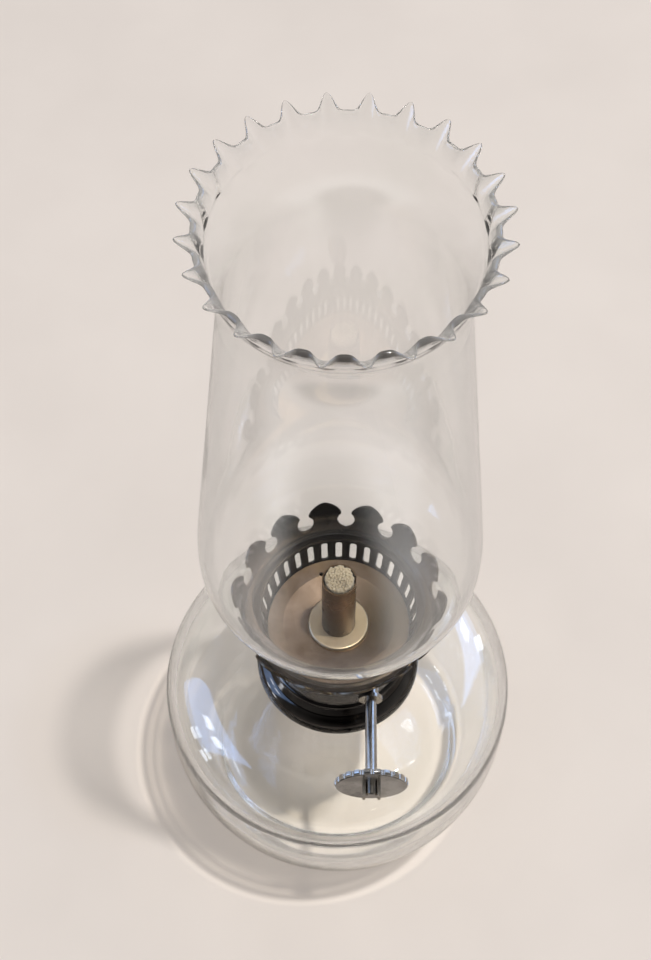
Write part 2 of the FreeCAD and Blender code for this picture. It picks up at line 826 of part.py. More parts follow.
def make_chimney():
    base = seat
    radius = size.chimney_base_radius
    wall = size.chimney_wall
    straight_top = base + size.chimney_collar_height
    bulge_level = base + size.bulge_height
    bulge_middle = size.bulge_radius - size.bulge_curve
    # The curve out of the straight foot, tangent to it and to the bulge.
    across = radius - bulge_middle
    rise = bulge_level - straight_top
    bulge = size.bulge_curve
    swell = (rise * rise + across * across - bulge * bulge) / ((bulge - across) * 2)
    swell_middle = radius + swell
    share = bulge / (bulge + swell)
    join_radius = bulge_middle + (swell_middle - bulge_middle) * share
    join_level = bulge_level - rise * share
    # The curve over the bulge runs into a straight taper, and the taper into the flare.
    upper = size.bulge_upper_curve
    lean = sine(size.chimney_taper)
    upright = cosine(size.chimney_taper)
    taper_radius = size.bulge_radius - upper * (as_size(1.0) - upright)
    taper_level = bulge_level + upper * lean
    flare_level = base + size.chimney_height - size.flare_height
    flare_radius = taper_radius - (flare_level - taper_level) * lean / upright
    flare = size.flare_curve
    lip_level = base + size.chimney_height - size.crimp_height
    flare_middle = flare_radius + flare * upright
    flare_centre_level = flare_level + flare * lean
    lip_rise = lip_level - flare_centre_level
    lip_radius = flare_middle - root(flare * flare - lip_rise * lip_rise)
    lip_bore = flare_middle - root((flare + wall) * (flare + wall) - lip_rise * lip_rise)
    body = new_body("chimney_wall")
    corners = [
        (radius - wall, base),
        (radius, base),
        (radius, straight_top),
        (join_radius, join_level),
        (size.bulge_radius, bulge_level),
        (taper_radius, taper_level),
        (flare_radius, flare_level),
        (lip_radius, lip_level),
        (lip_bore, lip_level),
        (flare_radius - wall * upright, flare_level - wall * lean),
        (taper_radius - wall * upright, taper_level - wall * lean),
        (size.bulge_radius - wall, bulge_level),
        (join_radius - wall * (swell_middle - join_radius) / swell,
         join_level + wall * (join_level - straight_top) / swell),
        (radius - wall, straight_top),
    ]
    arcs = {
        2: (swell, -1),
        3: (bulge, 1),
        4: (upper, 1),
        6: (flare, -1),
        8: (flare + wall, 1),
        10: (upper - wall, -1),
        11: (bulge - wall, -1),
        12: (swell + wall, 1),
    }
    revolve(body, corners, arcs)
    lip = doc.addObject("Part::Feature", "crimped_lip")
    lip.Shape = crimped_lip(lip_bore.value, lip_radius.value, lip_level.value)
    joined = doc.addObject("Part::Fuse", "chimney")
    joined.Base = body
    joined.Tool = lip
    doc.recompute()
    return joined


def crimped_ring(radius, swing, level):
    # A closed wave with a narrow outward nib for each crimp and a wide hollow between two nibs.
    count = int(size.crimp_count.value)
    points_per_crimp = 6
    hollow_share = 0.3
    steps = count * points_per_crimp
    points = []
    for step in range(steps):
        angle = 2 * math.pi * step / steps
        nib = ((1 + math.cos(count * angle)) / 2) ** 2
        reach = radius + 2 * swing * (nib - hollow_share)
        points.append(FreeCAD.Vector(reach * math.cos(angle), reach * math.sin(angle), level))
    wave = Part.BSplineCurve()
    wave.interpolate(points, PeriodicFlag=True)
    return Part.Wire(wave.toShape())


def crimped_lip(bore, radius, level):
    # The rim was pinched while soft: it opens outwards and its waves grow towards the edge.
    root_inset = size.chimney_wall.value / 12
    rise = size.crimp_height.value
    sunk = rise / 4
    ring_shares = (0.0, 0.3, 0.65, 1.0)
    shells = []
    for start in (radius - root_inset, bore + root_inset):
        rings = []
        for share in ring_shares:
            open_out = size.crimp_spread.value * share ** 1.5
            swing = size.crimp_swing.value * share ** 2
            height = level - sunk + (rise + sunk) * share
            rings.append(crimped_ring(start + open_out, swing, height))
        shells.append(Part.makeLoft(rings, True))
    return shells[0].cut(shells[1])


nodes = [
    make_font(),
    make_font_collar(),
    make_collar_cement(),
    make_screw_ring(),
    make_burner_drum(),
    make_burner_floor(),
    make_air_basket(),
    make_burner_plate(),
    make_tube_ring(),
    make_wick_tube(),
    make_wick(),
    make_winder_bush(),
    make_winder_shaft(),
    make_spur_wheel(),
    make_stop_ring(),
    make_thumb_wheel(),
    make_winder_bracket(),
    make_bracket_rivets(),
    make_coronet(),
    make_chimney(),
]
doc.recompute()

for thing in doc.Objects:
    if "Invalid" in thing.State or "Error" in thing.State:
        raise RuntimeError(f"{thing.Label} failed: {thing.State}")
for node in nodes:
    if node.Shape.isNull() or not node.Shape.isValid() or not node.Shape.Solids:
        raise RuntimeError(f"{node.Label} is not a valid solid")

os.makedirs("parts", exist_ok=True)
for node in nodes:
    node.Shape.exportStep(f"parts/{node.Label}.step")
    box = node.Shape.BoundBox
    print(f"{node.Label}: {len(node.Shape.Solids)} solid, volume {node.Shape.Volume:.1f},"
          f" z {box.ZMin:.2f} to {box.ZMax:.2f}")
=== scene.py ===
import math
import random

import bpy
from mathutils import Matrix, Vector


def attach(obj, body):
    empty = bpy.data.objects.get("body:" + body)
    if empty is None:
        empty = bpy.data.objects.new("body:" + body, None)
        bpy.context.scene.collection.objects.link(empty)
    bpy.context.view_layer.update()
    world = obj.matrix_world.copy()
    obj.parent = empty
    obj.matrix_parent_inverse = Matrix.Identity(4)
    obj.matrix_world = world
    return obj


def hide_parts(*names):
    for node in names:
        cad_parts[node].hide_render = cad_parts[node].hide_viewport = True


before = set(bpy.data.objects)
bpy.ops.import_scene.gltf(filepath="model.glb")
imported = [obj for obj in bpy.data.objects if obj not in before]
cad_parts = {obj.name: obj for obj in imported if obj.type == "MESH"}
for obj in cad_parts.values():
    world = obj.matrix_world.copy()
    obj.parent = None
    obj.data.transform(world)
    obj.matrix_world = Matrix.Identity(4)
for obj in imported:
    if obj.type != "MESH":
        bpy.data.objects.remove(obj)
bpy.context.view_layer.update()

# Small oil lamp of clear glass with a plated burner, a round wick and a crimped chimney.
# Profiles are written in millimetres, as radius and height above the table, and scaled on the way in.
mm = 0.001
random.seed(14)  # same fibres and same bent prongs on every run


def hexColour(text):
    # sRGB hex to the linear values a socket takes
    values = []
    for place in (1, 3, 5):
        share = int(text[place:place + 2], 16) / 255
        values.append(share / 12.92 if share <= 0.04045 else ((share + 0.055) / 1.055) ** 2.4)
    return (*values, 1.0)


def addNode(tree, kind, settings=None, links=None):
    # settings are sockets, properties or a ramp's stops; links are sockets fed by another node
    node = tree.nodes.new("ShaderNode" + kind)
    for key, value in (settings or {}).items():
        if key == "stops":
            ramp = node.color_ramp.elements
            while len(ramp) < len(value):
                ramp.new(0.5)
            for element, (place, colour) in zip(ramp, value):
                element.position = place
                element.color = hexColour(colour)
        elif isinstance(key, str) and hasattr(node, key) and key not in node.inputs:
            setattr(node, key, value)
        else:
            node.inputs[key].default_value = value
    for key, source in (links or {}).items():
        tree.links.new(source, node.inputs[key])
    return node


def startMaterial(name):
    # an empty tree with the output and object coordinates, which are metres in the lamp's frame
    material = bpy.data.materials.new(name)
    material.use_nodes = True
    tree = material.node_tree
    tree.nodes.clear()
    output = addNode(tree, "OutputMaterial")
    place = addNode(tree, "TexCoord").outputs["Object"]
    return material, tree, output.inputs["Surface"], place


# Materials

def clearGlass(name, look):
    # Soda-lime glass, blown and fire-polished: nearly colourless, with soft ripples from the blowing
    # and a faint film of smears that breaks up the mirror of a window.
    material, tree, surface, place = startMaterial(name)
    ripple = addNode(tree, "TexNoise", {"Scale": 1 / (look["rippleMm"] * mm), "Detail": 1.0},
                     {"Vector": place})
    bump = addNode(tree, "Bump", {"Strength": 1.0, "Distance": look["rippleDepthMm"] * mm},
                   {"Height": ripple.outputs["Fac"]})
    smear = addNode(tree, "TexNoise", {"Scale": 1 / (look["smearMm"] * mm), "Detail": 5.0,
                                       "Roughness": 0.62}, {"Vector": place})
    film = addNode(tree, "MapRange", {"From Min": 0.48, "From Max": 0.72, "To Min": look["roughness"],
                                      "To Max": look["smearRoughness"]}, {"Value": smear.outputs["Fac"]})
    tint = addNode(tree, "ValToRGB", {"stops": [(0.35, look["tint"]), (0.75, look["tintDeep"])]},
                   {"Fac": ripple.outputs["Fac"]})
    # dust on the surface: hardly seen face on, a pale veil where the glass is seen edge on
    slant = addNode(tree, "LayerWeight", {"Blend": look["dustBlend"]})
    dust = addNode(tree, "MapRange", {"From Min": look["dustFrom"], "To Min": 1.0 - look["dustFace"],
                                      "To Max": 1.0 - look["dustEdge"]}, {"Value": slant.outputs["Facing"]})
    colour, clear = tint.outputs["Color"], dust.outputs["Result"]
    if "edgeShade" in look:
        # painted shade: the thick edge between the nibs is painted dark and lets less light through, most of
        # all at the front, standing in for the dark that thick glass shows along its edge
        melt = addNode(tree, "Attribute", {"attribute_name": "melt"}).outputs["Fac"]
        shadedColour = addNode(tree, "Mix", {"data_type": "RGBA", 7: hexColour(look["edgeShade"])},
                         {0: melt, 6: colour})
        kept = addNode(tree, "MapRange", {"To Min": 1.0, "To Max": look["edgeShadeClear"]}, {"Value": melt})
        dimmed = addNode(tree, "Math", {"operation": "MULTIPLY"}, {0: clear, 1: kept.outputs["Result"]})
        colour, clear = shadedColour.outputs[2], dimmed.outputs["Value"]
    glass = addNode(tree, "BsdfPrincipled", {"IOR": look["ior"]},
                    {"Base Color": colour, "Roughness": film.outputs["Result"],
                     "Normal": bump.outputs["Normal"], "Transmission Weight": clear})
    # lamp light passes straight through: the slanting parts that would bend it aside cast a shadow,
    # and what they send inwards is gathered by the parts met squarely
    edge = addNode(tree, "LayerWeight", {"Blend": 0.35})
    shade = addNode(tree, "ValToRGB", {"stops": look["shadow"]}, {"Fac": edge.outputs["Facing"]})
    gathered = addNode(tree, "VectorMath", {"operation": "SCALE", "Scale": look["gather"]},
                       {0: shade.outputs["Color"]})
    through = addNode(tree, "BsdfTransparent", None, {"Color": gathered.outputs["Vector"]})
    path = addNode(tree, "LightPath")
    soft = addNode(tree, "Math", {"operation": "MAXIMUM"},
                   {0: path.outputs["Is Shadow Ray"], 1: path.outputs["Is Diffuse Ray"]})
    mixed = addNode(tree, "MixShader", None, {0: soft.outputs["Value"], 1: glass.outputs["BSDF"],
                                              2: through.outputs["BSDF"]})
    tree.links.new(mixed.outputs["Shader"], surface)
    return material


def platedMetal(name, look):
    # Nickel on spun brass: a warm grey mirror with fine rings from the lathe, cloudy tarnish in
    # patches, small dark specks and brass showing where an edge is rubbed.
    material, tree, surface, place = startMaterial(name)
    cloud = addNode(tree, "TexNoise", {"Scale": 1 / (look["cloudMm"] * mm), "Detail": 6.0,
                                       "Roughness": 0.6}, {"Vector": place})
    speck = addNode(tree, "TexNoise", {"Scale": 1 / (look["speckMm"] * mm), "Detail": 2.0},
                    {"Vector": place})
    tarnish = addNode(tree, "ValToRGB", {"stops": [(look["clean"], look["metal"]),
                                                   (look["dull"], look["tarnish"])]},
                      {"Fac": cloud.outputs["Fac"]})
    spots = addNode(tree, "MapRange", {"From Min": 0.66, "From Max": 0.76, "To Min": 0.0, "To Max": 0.7},
                    {"Value": speck.outputs["Fac"]})
    spotted = addNode(tree, "Mix", {"data_type": "RGBA", 7: hexColour(look["spot"])},
                      {0: spots.outputs["Result"], 6: tarnish.outputs["Color"]})
    sharp = addNode(tree, "NewGeometry")
    rubbed = addNode(tree, "MapRange", {"From Min": 0.53, "From Max": 0.62, "To Min": 0.0,
                                        "To Max": look["rub"]}, {"Value": sharp.outputs["Pointiness"]})
    worn = addNode(tree, "Mix", {"data_type": "RGBA", 7: hexColour(look["underlay"])},
                   {0: rubbed.outputs["Result"], 6: spotted.outputs[2]})
    colour = worn.outputs[2]
    if "darkening" in look:
        # a darker colour round one spot, fading out unevenly from it: heat browning on the burner plate and
        # its ring, painted shade at the foot of the wick tube, near black at the back of the coronet
        centre = [value * mm for value in look["darkeningAt"]]
        away = addNode(tree, "VectorMath", {"operation": "DISTANCE", 1: centre}, {0: place})
        uneven = addNode(tree, "Math", {"operation": "MULTIPLY_ADD", 1: 12 * mm},
                         {0: cloud.outputs["Fac"], 2: away.outputs["Value"]})
        thick = addNode(tree, "MapRange", {"From Min": (look["darkeningNearMm"] + 6) * mm,
                                           "From Max": (look["darkeningFarMm"] + 6) * mm, "To Min": 0.94,
                                           "To Max": 0.0}, {"Value": uneven.outputs["Value"]})
        darkened = addNode(tree, "Mix", {"data_type": "RGBA", 7: hexColour(look["darkening"])},
                          {0: thick.outputs["Result"], 6: colour})
        colour = darkened.outputs[2]
    # rings of the lathe: a noise read by radius and height only
    apart = addNode(tree, "SeparateXYZ", None, {0: place})
    across = addNode(tree, "CombineXYZ", None, {"X": apart.outputs["X"], "Y": apart.outputs["Y"]})
    radius = addNode(tree, "VectorMath", {"operation": "LENGTH"}, {0: across.outputs["Vector"]})
    ringPlace = addNode(tree, "CombineXYZ", None, {"X": radius.outputs["Value"], "Y": apart.outputs["Z"]})
    rings = addNode(tree, "TexNoise", {"Scale": 1 / (look["ringMm"] * mm), "Detail": 2.0},
                    {"Vector": ringPlace.outputs["Vector"]})
    dent = addNode(tree, "TexNoise", {"Scale": 1 / (look["dentMm"] * mm), "Detail": 1.0},
                   {"Vector": place})
    dents = addNode(tree, "Bump", {"Strength": 1.0, "Distance": look["dentDepthMm"] * mm},
                    {"Height": dent.outputs["Fac"]})
    turned = addNode(tree, "Bump", {"Strength": 1.0, "Distance": look["ringDepthMm"] * mm},
                     {"Height": rings.outputs["Fac"], "Normal": dents.outputs["Normal"]})
    polish = addNode(tree, "MapRange", {"From Min": 0.3, "From Max": 0.75, "To Min": look["roughness"],
                                        "To Max": look["dullRoughness"]}, {"Value": cloud.outputs["Fac"]})
    metal = addNode(tree, "BsdfPrincipled", {"Metallic": 1.0},
                    {"Base Color": colour, "Roughness": polish.outputs["Result"],
                     "Normal": turned.outputs["Normal"]})
    tree.links.new(metal.outputs["BSDF"], surface)
    return material


def cottonYarn(name, look):
    # Braided cotton: matt, soft at the edges, each yarn slightly lighter or darker than the next,
    # with grey patches here and there.
    material, tree, surface, place = startMaterial(name)
    fibre = addNode(tree, "TexNoise", {"Scale": 1 / (look["fibreMm"] * mm), "Detail": 3.0,
                                       "Roughness": 0.7}, {"Vector": place})
    colour = addNode(tree, "ValToRGB", {"stops": [(0.3, look["shade"]), (0.68, look["yarn"])]},
                     {"Fac": fibre.outputs["Fac"]})
    patch = addNode(tree, "TexNoise", {"Scale": 1 / (look["patchMm"] * mm), "Detail": 2.0}, {"Vector": place})
    darkening = addNode(tree, "MapRange", {"From Min": 0.45, "From Max": 0.7, "To Min": 0.0,
                                       "To Max": look["stainShare"]}, {"Value": patch.outputs["Fac"]})
    darkened = addNode(tree, "Mix", {"data_type": "RGBA", 7: hexColour(look["darkening"])},
                      {0: darkening.outputs["Result"], 6: colour.outputs["Color"]})
    bump = addNode(tree, "Bump", {"Strength": 1.0, "Distance": look["fibreDepthMm"] * mm},
                   {"Height": fibre.outputs["Fac"]})
    rough = addNode(tree, "MapRange", {"To Min": 0.8, "To Max": 1.0}, {"Value": fibre.outputs["Fac"]})
    cloth = addNode(tree, "BsdfPrincipled", {"IOR": 1.5, "Sheen Weight": 0.35, "Sheen Roughness": 0.5},
                    {"Base Color": darkened.outputs[2], "Roughness": rough.outputs["Result"],
                     "Normal": bump.outputs["Normal"]})
    tree.links.new(cloth.outputs["BSDF"], surface)
    return material


def castPlaster(name, look):
    # Plaster of Paris: chalky, off-white, with pores and a few damp stains.
    material, tree, surface, place = startMaterial(name)
    grain = addNode(tree, "TexNoise", {"Scale": 1 / (look["grainMm"] * mm), "Detail": 4.0}, {"Vector": place})
    colour = addNode(tree, "ValToRGB", {"stops": [(0.3, look["damp"]), (0.6, look["dry"])]},
                     {"Fac": grain.outputs["Fac"]})
    bump = addNode(tree, "Bump", {"Strength": 1.0, "Distance": look["poreMm"] * mm},
                   {"Height": grain.outputs["Fac"]})
    rough = addNode(tree, "MapRange", {"To Min": 0.75, "To Max": 0.95}, {"Value": grain.outputs["Fac"]})
    chalk = addNode(tree, "BsdfPrincipled", {"IOR": 1.52},
                    {"Base Color": colour.outputs["Color"], "Roughness": rough.outputs["Result"],
                     "Normal": bump.outputs["Normal"]})
    tree.links.new(chalk.outputs["BSDF"], surface)
    return material


# Sizes in Mm are those of the real patterns; lathe rings and cotton fibres are drawn coarser, to show.
fontGlassLook = {"tint": "#fefefd", "tintDeep": "#fafbf9", "ior": 1.52, "roughness": 0.0,
                 "smearRoughness": 0.05, "rippleMm": 16, "rippleDepthMm": 0.05, "smearMm": 11,
                 "shadow": [(0.24, "#fffefc"), (0.32, "#706e6b"), (0.46, "#706e6b"), (0.57, "#fffefc")],
                 "gather": 1.17, "dustBlend": 0.3, "dustFrom": 0.4, "dustFace": 0.04, "dustEdge": 0.12}
chimneyGlassLook = {"tint": "#fefefe", "tintDeep": "#fafbfa", "edgeShade": "#281f18", "edgeShadeClear": 0.25,
                    "ior": 1.47, "roughness": 0.0, "smearRoughness": 0.04, "rippleMm": 22,
                    "rippleDepthMm": 0.03, "smearMm": 15,
                    "shadow": [(0.6, "#fdfcfa"), (0.95, "#6f7069")], "gather": 1.0,
                    "dustBlend": 0.35, "dustFrom": 0.3, "dustFace": 0.0, "dustEdge": 0.26}
brightLook = {"metal": "#aeaba6", "tarnish": "#77726b", "clean": 0.42, "dull": 0.78, "spot": "#3f3a34",
              "underlay": "#b99a5e", "rub": 0.15, "cloudMm": 9, "speckMm": 0.9, "ringMm": 0.35,
              "ringDepthMm": 0.002, "dentMm": 7, "dentDepthMm": 0.02, "roughness": 0.16, "dullRoughness": 0.3}
darkLook = {"metal": "#494643", "tarnish": "#282523", "clean": 0.4, "dull": 0.72, "spot": "#151312",
            "underlay": "#5f5850", "rub": 0.3, "cloudMm": 8, "speckMm": 0.9, "ringMm": 0.4,
            "ringDepthMm": 0.001, "dentMm": 9, "dentDepthMm": 0.012, "roughness": 0.06, "dullRoughness": 0.15}
sootyLook = {"metal": "#62594f", "tarnish": "#3f372f", "clean": 0.38, "dull": 0.74, "spot": "#221c17",
             "underlay": "#7a6a4c", "rub": 0.2, "cloudMm": 7, "speckMm": 0.8, "ringMm": 0.4,
             "ringDepthMm": 0.003, "dentMm": 6, "dentDepthMm": 0.03, "roughness": 0.26, "dullRoughness": 0.45,
             "darkening": "#100c09", "darkeningAt": (-4, 30, 112), "darkeningNearMm": 9, "darkeningFarMm": 30}
heatedLook = {"metal": "#98836f", "tarnish": "#64513f", "clean": 0.36, "dull": 0.74, "spot": "#4a3a2c",
              "underlay": "#a98a58", "rub": 0.2, "cloudMm": 9, "speckMm": 0.8, "ringMm": 0.4,
              "ringDepthMm": 0.003, "dentMm": 9, "dentDepthMm": 0.03, "roughness": 0.34, "dullRoughness": 0.5,
              "darkening": "#57472f", "darkeningAt": (17, 2, 98), "darkeningNearMm": 5, "darkeningFarMm": 20}
ringLook = {**heatedLook, "metal": "#c6b294", "tarnish": "#a48f72", "darkening": "#b8a27c"}
# the tube's darkening is painted shade where it stands in the plate
tubeLook = {**heatedLook, "metal": "#715a48", "tarnish": "#4b3a2c", "roughness": 0.24, "dullRoughness": 0.4,
            "darkening": "#2f2219", "darkeningAt": (0, 0, 99), "darkeningNearMm": 3, "darkeningFarMm": 24}
brassLook = {"metal": "#c0a068", "tarnish": "#7a6238", "clean": 0.4, "dull": 0.75, "spot": "#4a3a20",
             "underlay": "#d8bd80", "rub": 0.4, "cloudMm": 5, "speckMm": 0.7, "ringMm": 0.3,
             "ringDepthMm": 0.005, "dentMm": 6, "dentDepthMm": 0.03, "roughness": 0.28, "dullRoughness": 0.48}
steelLook = {"metal": "#9a9894", "tarnish": "#5f5a54", "clean": 0.4, "dull": 0.74, "spot": "#4d3a2a",
             "underlay": "#c4c3c0", "rub": 0.4, "cloudMm": 3, "speckMm": 0.5, "ringMm": 0.25,
             "ringDepthMm": 0.006, "dentMm": 4, "dentDepthMm": 0.02, "roughness": 0.3, "dullRoughness": 0.55}
cottonLook = {"yarn": "#ece0c8", "shade": "#c8b795", "darkening": "#8f7f66", "stainShare": 0.5,
              "fibreMm": 0.35, "fibreDepthMm": 0.12, "patchMm": 4}
plasterLook = {"dry": "#e6e0d4", "damp": "#bfb4a0", "grainMm": 1.2, "poreMm": 0.15}

fontGlass = clearGlass("blown soda-lime glass", fontGlassLook)  # thick, bends what lies behind it
chimneyGlass = clearGlass("lamp chimney glass", chimneyGlassLook)  # thin, seen mostly at its edges
brightNickel = platedMetal("bright nickel plate", brightLook)  # pale mirror, a little clouded
darkNickel = platedMetal("aged dark nickel plate", darkLook)  # near black, with sharp highlights
sootyNickel = platedMetal("smoke-blackened nickel plate", sootyLook)  # grey-brown, black at the back
heatedNickel = platedMetal("heat-stained nickel plate", heatedLook)  # dull fawn, browned to one side
ringNickel = platedMetal("dull nickel plate", ringLook)  # the palest of the heated pieces
tubeNickel = platedMetal("heat-browned nickel plate, shaded at the foot", tubeLook)  # brown, darkest at the foot
brass = platedMetal("drawn brass", brassLook)  # warm yellow inside the burner
steel = platedMetal("mild steel", steelLook)  # plain grey with a few rusty specks
cotton = cottonYarn("braided cotton", cottonLook)  # cream and soft
plaster = castPlaster("plaster of Paris", plasterLook)  # chalky white

finishes = {"font_collar": darkNickel, "burner_drum": darkNickel, "screw_ring": darkNickel,
            "air_basket": sootyNickel, "coronet": sootyNickel, "winder_bush": brightNickel,
            "winder_shaft": brightNickel, "thumb_wheel": brightNickel, "burner_plate": heatedNickel,
            "tube_ring": ringNickel, "wick_tube": tubeNickel, "burner_floor": brass,
            "winder_bracket": brass, "bracket_rivets": brass, "spur_wheel": steel, "stop_ring": steel,
            "collar_cement": plaster, "font": fontGlass, "chimney": chimneyGlass, "wick": cotton}
for node, finish in finishes.items():
    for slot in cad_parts[node].material_slots:
        slot.material = finish
print("materials ready:", len(bpy.data.materials))


# Shapes

def sidePoints(start, end, radius, turn):
    # one side of a profile: straight, or an arc whose middle lies left of the way for turn 1
    if not radius:
        return [start, end]
    span = math.dist(start, end)
    along = ((end[0] - start[0]) / span, (end[1] - start[1]) / span)
    reach = math.sqrt(max(radius * radius - span * span / 4, 0.0)) * turn
    centre = ((start[0] + end[0]) / 2 - along[1] * reach, (start[1] + end[1]) / 2 + along[0] * reach)
    sweep = 2 * math.asin(min(span / 2 / radius, 1.0)) * turn
    first = math.atan2(start[1] - centre[1], start[0] - centre[0])
    steps = max(4, int(abs(sweep) / math.radians(3.5)))
    return [(centre[0] + radius * math.cos(first + sweep * n / steps),
             centre[1] + radius * math.sin(first + sweep * n / steps)) for n in range(steps + 1)]


def trimmed(points, amount):
    # a side without its first few millimetres
    left = amount
    rest = list(points)
    while len(rest) > 2 and math.dist(rest[0], rest[1]) <= left:
        left -= math.dist(rest[0], rest[1])
        rest.pop(0)
    share = min(left / max(math.dist(rest[0], rest[1]), 1e-9), 0.49)
    rest[0] = tuple(a + (b - a) * share for a, b in zip(rest[0], rest[1]))
    return rest


def easedProfile(start, runs, closed=False):
    # runs are (end, radius, turn, ease): each corner is rounded over ease millimetres
    sides = []
    here = start
    for end, radius, turn, ease in runs:
        sides.append([sidePoints(here, end, radius, turn), ease, end])
        here = end
    count = len(sides)
    for number in range(count if closed else count - 1):
        side, ease = sides[number][:2]
        following = sides[(number + 1) % count]
        if ease:
            sides[number][0] = trimmed(side[::-1], ease)[::-1]
            following[0] = trimmed(following[0], ease)
    profile = []
    for number, (side, ease, corner) in enumerate(sides):
        profile += side if not profile or math.dist(profile[-1], side[0]) > 1e-6 else side[1:]
        if ease and (closed or number < count - 1):
            last, first = side[-1], sides[(number + 1) % count][0][0]
            for step in range(1, 6):
                t = step / 6
                profile.append(tuple(a * (1 - t) ** 2 + 2 * b * t * (1 - t) + c * t * t
                                     for a, b, c in zip(last, corner, first)))
    return profile


def spunMesh(name, profile, segments, closed=False, shape=None):
    # revolves a profile round the lamp's axis; shape may move each point, given radius, height and angle
    vertices, rings, faces = [], [], []
    for r, z in profile:
        if r < 1e-6:
            rings.append([len(vertices)] * segments)
            vertices.append((0, 0, z * mm))
            continue
        rings.append(list(range(len(vertices), len(vertices) + segments)))
        for number in range(segments):
            angle = 2 * math.pi * number / segments
            reach, level = shape(r, z, angle) if shape else (r, z)
            vertices.append((reach * math.cos(angle) * mm, reach * math.sin(angle) * mm, level * mm))
    pairs = list(zip(rings, rings[1:] + rings[:1])) if closed else list(zip(rings, rings[1:]))
    for low, high in pairs:
        for number in range(segments):
            after = (number + 1) % segments
            corners = [low[number], low[after], high[after], high[number]]
            corners = list(dict.fromkeys(corners))
            if len(corners) > 2:
                faces.append(corners)
    return meshObject(name, vertices, faces)


def meshObject(name, vertices, faces, sharp=40):
    mesh = bpy.data.meshes.new(name)
    mesh.from_pydata(vertices, [], faces)
    mesh.validate()
    mesh.update()
    for face in mesh.polygons:
        face.use_smooth = True
    mesh.set_sharp_from_angle(angle=math.radians(sharp))
    thing = bpy.data.objects.new(name, mesh)
    bpy.context.scene.collection.objects.link(thing)
    return thing


def settled(thing):
    # turns the modifiers into plain mesh
    graph = bpy.context.evaluated_depsgraph_get()
    mesh = bpy.data.meshes.new_from_object(thing.evaluated_get(graph))
    thing.modifiers.clear()
    thing.data = mesh
    return thing


def fitPiece(thing, body, node, finish):
    # gives a piece its finish and the body it rides on, and hides the solid it stands for
    thing.data.materials.append(finish)
    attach(thing, body)
    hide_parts(node)


# Font: squat bowl with a round shoulder, a hollow foot and a short neck under the collar
font = {"radius": 51.4, "baseRadius": 36.5, "sideLow": 44.0, "sideHigh": 54.0, "shoulder": 17.0,
        "shoulderTop": 71.0, "neckFoot": 72.5, "neckTop": 78.5, "neckRadius": 17.6, "neckWall": 2.8,
        "wall": 3.0, "floor": 6.0, "floorCrown": 1.0, "floorRound": 14.0, "footRound": 8.0, "footWidth": 5.4,
        "hollow": 3.0, "segments": 256}


def buildFont(f):
    side = f["radius"] - f["baseRadius"]
    bowl = (side ** 2 + f["sideLow"] ** 2) / (2 * side)
    innerBowl = bowl - f["wall"]
    innerSide = f["radius"] - f["wall"]
    bowlMiddle, roundReach = f["radius"] - bowl, innerBowl - f["floorRound"]
    roundDrop = f["sideLow"] - f["floor"] - f["floorRound"]
    floorRadius = bowlMiddle + math.sqrt(roundReach ** 2 - roundDrop ** 2)
    bowlShare = innerBowl / roundReach
    bowlEnd = (bowlMiddle + (floorRadius - bowlMiddle) * bowlShare, f["sideLow"] - roundDrop * bowlShare)
    footReach, footDrop = bowl - f["footRound"], f["sideLow"] - f["footRound"]
    footOuter = bowlMiddle + math.sqrt(footReach ** 2 - footDrop ** 2)
    footShare = bowl / footReach
    bowlStart = (bowlMiddle + (footOuter - bowlMiddle) * footShare, f["sideLow"] - footDrop * footShare)
    footInner = footOuter - f["footWidth"]
    shoulderMiddle = f["radius"] - f["shoulder"]
    hollow = (footInner ** 2 + f["hollow"] ** 2) / (2 * f["hollow"])
    crown = (floorRadius ** 2 + f["floorCrown"] ** 2) / (2 * f["floorCrown"])
    bore = f["neckRadius"] - f["neckWall"]
    wall = f["wall"]
    profile = easedProfile((0, f["hollow"]), [
        ((footInner, 0), hollow, -1, 2.0),
        ((footOuter, 0), None, 0, 0),
        (bowlStart, f["footRound"], 1, 0),
        ((f["radius"], f["sideLow"]), bowl, 1, 0),
        ((f["radius"], f["sideHigh"]), None, 0, 0),
        ((shoulderMiddle, f["shoulderTop"]), f["shoulder"], 1, 2.0),
        ((f["neckRadius"], f["neckFoot"]), None, 0, 0.25),
        ((f["neckRadius"], f["neckTop"]), None, 0, 0.8),
        ((bore, f["neckTop"]), None, 0, 0.8),
        ((bore, f["neckFoot"] - wall), None, 0, 1.6),
        ((shoulderMiddle, f["shoulderTop"] - wall), None, 0, 2.0),
        ((innerSide, f["sideHigh"]), f["shoulder"] - wall, -1, 0),
        ((innerSide, f["sideLow"]), None, 0, 0),
        (bowlEnd, innerBowl, -1, 0),
        ((floorRadius, f["floor"]), f["floorRound"], -1, 3.0),
        ((0, f["floor"] + f["floorCrown"]), crown, 1, 0)])
    return spunMesh("font_glass", profile, f["segments"])


fontPiece = buildFont(font)
fitPiece(fontPiece, "font", "font", fontGlass)
print("font:", len(fontPiece.data.polygons), "faces")

# Chimney: straight foot, bulge, long taper, flare and a rim pinched into waves while it was soft
chimney = {"seat": 107.5, "height": 170.0, "baseRadius": 24.3, "wall": 1.2, "foot": 5.0, "bulgeHeight": 38.7,
           "bulgeRadius": 36.4, "bulgeCurve": 22.0, "upperCurve": 90.0, "taper": 5.7, "flareHeight": 26.0,
           "flareCurve": 40.0, "crimps": 24, "crimpTurn": 6.75, "crimpHeight": 8.0, "crimpSwing": 2.0,
           "crimpSpread": 2.9, "hollowShare": 0.3, "rimShare": 1.25, "nibShare": 0.2, "nibSharp": 2.4,
           "dip": 2.2, "edgeShadeAllRound": 0.55, "edgeShadeInFront": 0.45, "unevenness": 0.12, "segments": 480}


